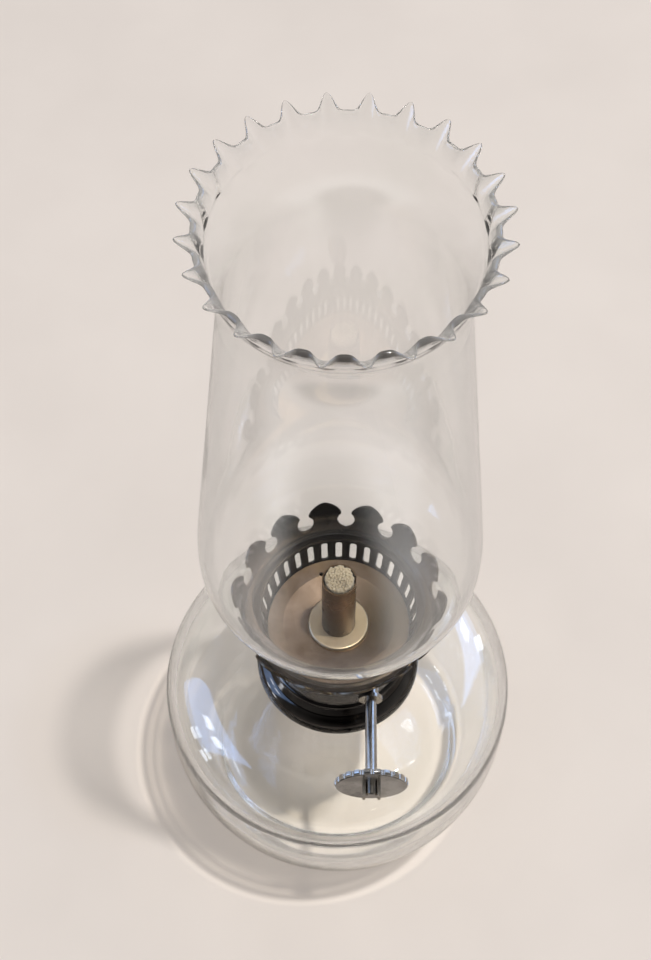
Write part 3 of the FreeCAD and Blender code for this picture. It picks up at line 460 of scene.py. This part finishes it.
def buildChimney(c):
    base, wall, radius = c["seat"], c["wall"], c["baseRadius"]
    footTop = base + c["foot"]
    bulgeLevel = base + c["bulgeHeight"]
    bulgeMiddle = c["bulgeRadius"] - c["bulgeCurve"]
    across, rise, bulge = radius - bulgeMiddle, bulgeLevel - footTop, c["bulgeCurve"]
    swell = (rise ** 2 + across ** 2 - bulge ** 2) / (2 * (bulge - across))  # hollow curve above the foot
    share = bulge / (bulge + swell)
    join = (bulgeMiddle + (radius + swell - bulgeMiddle) * share, bulgeLevel - rise * share)
    lean, upright = math.sin(math.radians(c["taper"])), math.cos(math.radians(c["taper"]))
    taper = (c["bulgeRadius"] - c["upperCurve"] * (1 - upright), bulgeLevel + c["upperCurve"] * lean)
    flareLevel = base + c["height"] - c["flareHeight"]
    flare = (taper[0] - (flareLevel - taper[1]) * lean / upright, flareLevel)
    flareMiddle = (flare[0] + c["flareCurve"] * upright, flareLevel + c["flareCurve"] * lean)
    lipLevel = base + c["height"] - c["crimpHeight"]
    lip = (flareMiddle[0] - math.sqrt(c["flareCurve"] ** 2 - (lipLevel - flareMiddle[1]) ** 2), lipLevel)
    outer = easedProfile((radius, base), [
        ((radius, footTop), None, 0, 0),
        (join, swell, -1, 0),
        ((c["bulgeRadius"], bulgeLevel), bulge, 1, 0),
        (taper, c["upperCurve"], 1, 0),
        (flare, None, 0, 0),
        (lip, c["flareCurve"], -1, 0)])
    steps = 12
    for number in range(1, steps + 1):
        share = number / steps
        outer.append((lip[0] + c["crimpSpread"] * share ** 1.5, lipLevel + c["crimpHeight"] * share))
    # the inner face lies one wall inside the outer one, and a half round joins them at both ends
    normals = []
    for number in range(len(outer)):
        a, b = outer[max(number - 1, 0)], outer[min(number + 1, len(outer) - 1)]
        span = math.dist(a, b)
        normals.append(((b[1] - a[1]) / span, (a[0] - b[0]) / span))
    loop = []
    for (r, z), n in zip(outer, normals):
        melted = min(max((z - lipLevel) / c["crimpHeight"], 0.0), 1.0)
        half = wall / 2 * (1 + (c["rimShare"] - 1) * melted)  # a thicker edge, run together in the flame
        loop.append((r - n[0] * half, z - n[1] * half, n, half))
    r, z, n, half = loop[0]
    loop[0] = (r, z + half, n, half)
    r, z, n, half = loop[-1]
    loop[-1] = (r + half * n[1], z - half * n[0], n, half)
    profile, middles = [], {}

    def addPoint(r, z, n, half, turn):
        # a point of the outline, turned from the outer face over the edge to the inner one
        spot = (r + half * (n[0] * math.cos(turn) - n[1] * math.sin(turn)),
                z + half * (n[1] * math.cos(turn) + n[0] * math.sin(turn)))
        profile.append(spot)
        middles[spot] = (r, z)

    for station in loop:
        addPoint(*station, 0.0)
    for step in range(1, 8):
        addPoint(*loop[-1], math.pi * step / 8)
    for station in reversed(loop):
        addPoint(*station, math.pi)
    for step in range(9, 16):
        addPoint(*loop[0], math.pi * step / 8)

    paintedShades = []

    def crimped(r, z, angle):
        # the nibs grow towards the edge, which is thinner on them and dips between them
        middle = middles[r, z]
        share = min(max((middle[1] - lipLevel) / c["crimpHeight"], 0.0), 1.0)
        nib = ((1 + math.cos(c["crimps"] * (angle - math.radians(c["crimpTurn"])))) / 2) ** c["nibSharp"]
        thin = 1 - (1 - c["nibShare"]) * share * math.sqrt(nib)
        # painted shade between the nibs near the edge: strongest at the front, faint at the back
        frontShade = (c["edgeShadeAllRound"] - c["edgeShadeInFront"] * math.sin(angle)) ** 1.5
        paintedShades.append(frontShade * share ** 1.5 * (1 - nib))
        blown = c["unevenness"] * math.sin(2 * angle + z / 40) * min(1.0, (z - base) / 20) * (1 - share)
        swing = 2 * c["crimpSwing"] * share ** 2 * (nib - c["hollowShare"]) + blown
        reach = middle[0] + (r - middle[0]) * thin + swing
        return reach, middle[1] + (z - middle[1]) * thin - c["dip"] * share ** 2 * (1 - nib)

    thing = spunMesh("chimney_glass", profile, c["segments"], True, crimped)
    melt = thing.data.attributes.new("melt", "FLOAT", "POINT")
    melt.data.foreach_set("value", paintedShades)
    return thing


chimneyPiece = buildChimney(chimney)
fitPiece(chimneyPiece, "chimney", "chimney", chimneyGlass)
print("chimney:", len(chimneyPiece.data.polygons), "faces")

# Coronet: flat seat with a ring of spade-shaped prongs cut from the same sheet, each bent a bit by hand
coronet = {"seat": 107.2, "bore": 21.5, "radius": 25.7, "flare": 3.4, "height": 8.9, "sheet": 0.6,
           "prongs": 14, "turn": -4.4, "foot": 1.0, "pocket": 2.5, "throat": 1.4, "fold": 1.0,
           "bentOut": (-0.1, 0.45), "bentAside": (-0.3, 0.3), "dish": 0.35, "cutEdge": 0.12,
           "columns": 26, "headRows": 14}


def buildCoronet(c):
    lean = c["flare"] / c["height"]
    pocketMiddle = c["foot"] + c["pocket"]
    throatLevel = pocketMiddle + math.sqrt(c["pocket"] ** 2 - c["throat"] ** 2)
    rows = [(c["bore"] + (c["radius"] - c["fold"] - c["bore"]) * n / 4, 0.0, None) for n in range(5)]
    rows += [(c["radius"] - c["fold"] * (1 - math.sin(a)) + c["fold"] * 0.2 * (1 - math.cos(a)),
              c["fold"] * (1 - math.cos(a)) * 0.6, None) for a in (0.35, 0.7, 1.05, 1.4)]
    # heights up the prong, with the part of the pitch that the gap takes from each side
    last = math.pi - math.asin(c["throat"] / c["pocket"])
    for n in range(15):
        a = last * n / 14
        rows.append((None, pocketMiddle - c["pocket"] * math.cos(a), c["pocket"] * math.sin(a)))
    for n in range(1, c["headRows"] + 1):
        rise = 1 - (1 - n / c["headRows"]) ** 1.6
        rows.append((None, throatLevel + (c["height"] - throatLevel) * rise, rise))
    vertices, faces, known = [], [], {}
    for prong in range(c["prongs"]):
        middle = math.radians(c["turn"] + 90) + 2 * math.pi * (prong + 0.5) / c["prongs"]
        outward, aside = random.uniform(*c["bentOut"]), random.uniform(*c["bentAside"])
        previous = None
        for number, (flat, level, gap) in enumerate(rows):
            r = flat if flat else c["radius"] + lean * level
            half = math.pi * r / c["prongs"]
            if gap is None:
                width = half
            elif number < len(rows) - c["headRows"]:
                width = half - gap
            else:
                width = max((half - c["throat"]) * (1 - gap ** 1.5) ** 0.65, 0.12)
            bent = max(level - c["foot"], 0.0) / (c["height"] - c["foot"])
            line = []
            for column in range(c["columns"] + 1):
                across = width * (2 * column / c["columns"] - 1)
                dish = c["dish"] * bent * (across / half) ** 2  # the sheet keeps some of its roundness
                reach = r + outward * bent ** 2 - dish
                angle = middle + (across + aside * bent ** 2) / r
                spot = (reach * math.cos(angle) * mm, reach * math.sin(angle) * mm, (c["seat"] + level) * mm)
                key = tuple(round(v, 7) for v in spot)
                if key not in known:
                    known[key] = len(vertices)
                    vertices.append(spot)
                line.append(known[key])
            if previous:
                faces += [(previous[n], previous[n + 1], line[n + 1], line[n]) for n in range(c["columns"])]
            previous = line
    thing = meshObject("prong_coronet", vertices, faces)
    thicken = thing.modifiers.new("sheet", "SOLIDIFY")
    thicken.thickness = c["sheet"] * mm
    thicken.offset = 0
    soften = thing.modifiers.new("cut edge", "BEVEL")
    soften.width = c["cutEdge"] * mm
    soften.segments = 2
    soften.angle_limit = math.radians(50)
    return settled(thing)


coronetPiece = buildCoronet(coronet)
fitPiece(coronetPiece, "burner", "coronet", sootyNickel)
print("coronet:", len(coronetPiece.data.polygons), "faces")

# Wick: a tube of yarns braided over and under round a bundle of straight ones, cut off level
wick = {"bottom": 32.0, "top": 127.2, "braidRadius": 3.36, "weave": 0.22, "yarns": 8, "lay": 21.0,
        "yarnWidth": 0.98, "yarnDepth": 0.38, "coreRadius": 2.7, "step": 0.42, "ends": 74, "endRadius": 0.46,
        "endReach": 3.68, "endTurn": 2.39996, "trackFrom": 73.4, "trackTo": 105.4, "trackFloor": 3.1,
        "trackHalf": 1.2, "fibres": 110, "fibreRadius": 0.03}


def buildWick(w):
    vertices, faces = [], []

    def addYarn(path, width, depth, sides=8):
        # path holds points, the way out from the axis and a share of the full thickness
        first = len(vertices)
        count = len(path)
        for number, (spot, out, share) in enumerate(path):
            ahead = path[min(number + 1, count - 1)][0] - path[max(number - 1, 0)][0]
            flat = ahead.cross(out).normalized()
            thick = flat.cross(ahead).normalized()
            for side in range(sides):
                turn = 2 * math.pi * side / sides
                offset = flat * width * math.cos(turn) + thick * depth * math.sin(turn)
                vertices.append(spot + offset * share)
        for number in range(count - 1):
            for side in range(sides):
                a, b = first + number * sides + side, first + number * sides + (side + 1) % sides
                faces.append((a, b, b + sides, a + sides))
        for start, order in ((first, -1), (first + (count - 1) * sides, 1)):
            faces.append(tuple(start + side for side in range(sides))[::order])

    aside = Vector((1, 0, 0))
    for way in (1, -1):
        for yarn in range(w["yarns"]):
            path = []
            top = w["top"] - random.uniform(0.5, 0.9)
            steps = int((top - w["bottom"]) / w["step"])
            for number in range(steps + 1):
                z = w["bottom"] + (top - w["bottom"]) * number / steps
                angle = 2 * math.pi * (yarn / w["yarns"] + way * z / w["lay"])
                r = w["braidRadius"] + way * w["weave"] * math.cos(2 * math.pi * w["yarns"] * z / w["lay"])
                out = Vector((math.cos(angle), math.sin(angle), 0))
                path.append((out * r + Vector((0, 0, z)), out, 1.0))
            addYarn(path, w["yarnWidth"], w["yarnDepth"])
    core = [(Vector((0, 0, z)), aside, 1.0) for z in (w["bottom"] + 0.5, w["top"] - 1.2)]
    addYarn(core, w["coreRadius"], w["coreRadius"], 24)
    for end in range(w["ends"]):
        # cut ends of the yarns, packed close like seeds in a sunflower and rubbed round
        angle = end * w["endTurn"]
        r = w["endReach"] * math.sqrt((end + 0.5) / w["ends"]) + random.uniform(-0.12, 0.06)
        spot = Vector((r * math.cos(angle), r * math.sin(angle), 0))
        top = w["top"] - random.uniform(0.0, 0.3) - 0.25 * (r / w["endReach"]) ** 4
        path = [(spot + Vector((0, 0, top - down)), aside, share)
                for down, share in ((2.0, 0.9), (0.55, 1.0), (0.25, 0.93), (0.08, 0.7), (0.0, 0.3))]
        addYarn(path, w["endRadius"], w["endRadius"] * random.uniform(0.75, 1.0), 10)
    for fibre in range(w["fibres"]):
        # loose fibres left by the scissors
        angle, r = random.uniform(0, 2 * math.pi), 3.5 * math.sqrt(random.random())
        lean = Vector((random.uniform(-0.6, 0.6), random.uniform(-0.6, 0.6), 0))
        root = Vector((r * math.cos(angle), r * math.sin(angle), w["top"] - 0.75))
        path = [(root + lean * s * s + Vector((0, 0, 0.85 * s)), aside, 1.0) for s in (0, 0.35, 0.7, 1.0)]
        addYarn(path, w["fibreRadius"], w["fibreRadius"], 4)
    for spot in vertices:
        # the spur wheel has pressed a track into one side
        inTrack = min(max(min(spot.z - w["trackFrom"], w["trackTo"] - spot.z) / 0.6, 0.0), 1.0)
        beside = min(max((w["trackHalf"] + 0.4 - abs(spot.y)) / 0.4, 0.0), 1.0)
        if spot.x > w["trackFloor"]:
            spot.x -= (spot.x - w["trackFloor"]) * inTrack * beside
    return meshObject("braided_wick", [spot * mm for spot in vertices], faces, 70)


wickPiece = buildWick(wick)
fitPiece(wickPiece, "wick", "wick", cotton)
print("wick:", len(wickPiece.data.polygons), "faces")


# Stage

stage = {"floor": "#e8e0da", "floorShade": "#e4dcd6", "floorSize": 30.0, "room": 0.66, "darkSide": "#2e2b29",
         "shadeFrom": 0.25, "shadeTo": 1.0, "key": 11.4, "window": 3.3, "windowColour": "#93bdff",
         "pane": 9.0, "paneSize": (0.12, 0.17), "paneColour": "#e6f0ff",
         "panes": ((180, 39), (-168, 37), (-174, 5), (-163, 1), (44, 39), (33, 18))}

floorMaterial, tree, surface, place = startMaterial("matt board")
# pale board: even and dead matt, with the faintest mottling
mottle = addNode(tree, "TexNoise", {"Scale": 1 / (60 * mm), "Detail": 3.0}, {"Vector": place})
pale = addNode(tree, "ValToRGB", {"stops": [(0.35, stage["floorShade"]), (0.65, stage["floor"])]},
               {"Fac": mottle.outputs["Fac"]})
board = addNode(tree, "BsdfPrincipled", {"Roughness": 1.0, "Specular IOR Level": 0.0},
                {"Base Color": pale.outputs["Color"]})
tree.links.new(board.outputs["BSDF"], surface)
half = stage["floorSize"] / 2
floor = meshObject("floor", [(-half, -half, 0), (half, -half, 0), (half, half, 0), (-half, half, 0)],
                   [(0, 1, 2, 3)])
floor.location.z = -0.0002
floor.data.materials.append(floorMaterial)

world = bpy.data.worlds.new("soft room")
bpy.context.scene.world = world
world.use_nodes = True
tree = world.node_tree
tree.nodes.clear()
# pale walls all round; the side the lamp is looked at from is darker, but only in mirror images
ray = addNode(tree, "TexCoord").outputs["Generated"]
height = addNode(tree, "SeparateXYZ", None, {0: ray})
walls = addNode(tree, "ValToRGB", {"stops": [(0.0, "#f4f1ef"), (0.5, "#f2f1f0"), (1.0, "#ebebee")]},
                {"Fac": height.outputs["Z"]})
toward = addNode(tree, "VectorMath", {"operation": "DOT_PRODUCT", 1: (0, -0.75, 0.66)}, {0: ray})
dim = addNode(tree, "MapRange", {"From Min": stage["shadeFrom"], "From Max": stage["shadeTo"]},
              {"Value": toward.outputs["Value"]})
mirrored = addNode(tree, "Math", {"operation": "MINIMUM", 1: 1.0},
                   {0: addNode(tree, "LightPath").outputs["Glossy Depth"]})
seen = addNode(tree, "Math", {"operation": "MULTIPLY"},
               {0: dim.outputs["Result"], 1: mirrored.outputs["Value"]})
room = addNode(tree, "Mix", {"data_type": "RGBA", 7: hexColour(stage["darkSide"])},
               {0: seen.outputs["Value"], 6: walls.outputs["Color"]})
sky = addNode(tree, "Background", {"Strength": stage["room"]}, {"Color": room.outputs[2]})
tree.links.new(sky.outputs["Background"], addNode(tree, "OutputWorld").inputs["Surface"])


def addLamp(name, azimuth, height, distance, width, depth, power, colour, onlyMirrored=False):
    # placed by compass angle and height above the table, both in degrees, and aimed at the burner
    lamp = bpy.data.lights.new(name, "AREA")
    lamp.shape = "RECTANGLE"
    lamp.size, lamp.size_y = width, depth
    lamp.energy = power
    lamp.color = hexColour(colour)[:3]
    thing = bpy.data.objects.new(name, lamp)
    a, h = math.radians(azimuth), math.radians(height)
    way = Vector((math.cos(h) * math.cos(a), math.cos(h) * math.sin(a), math.sin(h)))
    thing.location = way * distance + Vector((0, 0, 0.05))
    thing.rotation_euler = (-way).to_track_quat("-Z", "Y").to_euler()
    thing.visible_camera = False
    thing.visible_diffuse = not onlyMirrored
    bpy.context.scene.collection.objects.link(thing)
    return thing


def addWindow(name, azimuth, height, width, depth, glow, colour):
    # shows in glass and metal and lights nothing; glow is how bright it looks
    return addLamp(name, azimuth, height, 1.2, width, depth, glow * math.pi * width * depth, colour, True)


addLamp("key lamp", -6, 78, 1.6, 0.05, 0.05, stage["key"], "#fffcf8")
addWindow("left window", 180, 33, 0.75, 1.2, stage["window"], stage["windowColour"])
addWindow("right window", 38, 38, 0.5, 0.8, stage["window"], stage["windowColour"])
# panes put glints on the font's shoulder and the plate over it; they are linked to these alone, which
# keeps the chimney free of them
glinting = bpy.data.collections.new("glinting pieces")
for piece in (fontPiece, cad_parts["font_collar"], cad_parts["burner_drum"]):
    glinting.objects.link(piece)
for azimuth, height in stage["panes"]:
    pane = addWindow("bright pane", azimuth, height, *stage["paneSize"], stage["pane"], stage["paneColour"])
    pane.light_linking.receiver_collection = glinting

# Card on the table in front, seen only in mirror images: a painted reflection, black in the middle and
# glowing round it, that keeps the middle of the chimney clear and veils its sides. In metres, with distances
# from the middle.
card = {"glow": 1.1, "colour": "#f4f1ee", "middle": (-0.016, -0.15, 0.001), "widen": (0.8, 1.0, 1.0),
        "blackTo": 0.055, "litFrom": 0.105, "fadeFrom": 0.12, "fadeTo": 0.25, "nearFrom": -0.06,
        "nearTo": -0.13, "farEdge": -0.4, "halfWidth": 0.3, "level": 0.001}
cardMaterial, tree, surface, place = startMaterial("glowing reflection sheet")
wide = addNode(tree, "VectorMath", {"operation": "MULTIPLY", 1: card["widen"]}, {0: place})
away = addNode(tree, "VectorMath", {"operation": "DISTANCE", 1: card["middle"]}, {0: wide.outputs["Vector"]})
cardGlow = addNode(tree, "MapRange", {"interpolation_type": "SMOOTHSTEP", "From Min": card["blackTo"],
                                 "From Max": card["litFrom"], "To Max": card["glow"]},
              {"Value": away.outputs["Value"]})
glow = addNode(tree, "Emission", {"Color": hexColour(card["colour"])}, {"Strength": cardGlow.outputs["Result"]})
faded = addNode(tree, "MapRange", {"interpolation_type": "SMOOTHSTEP", "From Min": card["fadeFrom"],
                                   "From Max": card["fadeTo"], "To Min": 1.0, "To Max": 0.0},
                {"Value": away.outputs["Value"]})
apart = addNode(tree, "SeparateXYZ", None, {0: place})
near = addNode(tree, "MapRange", {"interpolation_type": "SMOOTHSTEP", "From Min": card["nearFrom"],
                                  "From Max": card["nearTo"]}, {"Value": apart.outputs["Y"]})
soft = addNode(tree, "Math", {"operation": "MULTIPLY"},
               {0: faded.outputs["Result"], 1: near.outputs["Result"]})
mirrored = addNode(tree, "Math", {"operation": "MINIMUM", 1: 1.0},
                   {0: addNode(tree, "LightPath").outputs["Glossy Depth"]})
there = addNode(tree, "Math", {"operation": "MULTIPLY"},
                {0: soft.outputs["Value"], 1: mirrored.outputs["Value"]})
unseen = addNode(tree, "MixShader", None, {0: there.outputs["Value"], 2: glow.outputs["Emission"],
                                           1: addNode(tree, "BsdfTransparent").outputs["BSDF"]})
tree.links.new(unseen.outputs["Shader"], surface)
side, far, close, level = card["halfWidth"], card["farEdge"], card["nearFrom"], card["level"]
corners = [(-side, far, level), (side, far, level), (side, close, level), (-side, close, level)]
sheet = meshObject("card", corners, [(0, 1, 2, 3)])
sheet.data.materials.append(cardMaterial)
sheet.visible_camera = sheet.visible_diffuse = sheet.visible_shadow = False
print("stage:", len(bpy.data.lights), "lamps and windows")

# Camera: worked out from the chimney's rim, the font's outline and the burner in the picture
camera = {"focalPixels": 1753.94, "pictureHeight": 960, "elevation": 1.05333, "distance": 421.55,
          "roll": 0.00423, "target": (-3.774, 0.0, 178.14), "sensor": 36.0}
lens = bpy.data.cameras.new("camera")
lens.sensor_fit = "VERTICAL"
lens.sensor_height = camera["sensor"]
lens.lens = camera["focalPixels"] / camera["pictureHeight"] * camera["sensor"]
lens.clip_start = 0.01
viewer = bpy.data.objects.new("camera", lens)
bpy.context.scene.collection.objects.link(viewer)
tilt, roll = camera["elevation"], camera["roll"]
back = Vector((0, -math.cos(tilt), math.sin(tilt)))
level, rise = Vector((1, 0, 0)), Vector((0, math.sin(tilt), math.cos(tilt)))
right = level * math.cos(roll) + rise * math.sin(roll)
up = rise * math.cos(roll) - level * math.sin(roll)
turned = Matrix((right, up, back)).transposed().to_4x4()
turned.translation = (Vector(camera["target"]) + back * camera["distance"]) * mm
viewer.matrix_world = turned
bpy.context.scene.camera = viewer
bpy.context.scene.view_settings.view_transform = "Standard"
bpy.context.scene.cycles.max_bounces = 48  # light runs far inside thick glass before it finds a way out
bpy.context.scene.cycles.transmission_bounces = 48
bpy.context.scene.cycles.glossy_bounces = 24
bpy.context.scene.cycles.transparent_max_bounces = 48
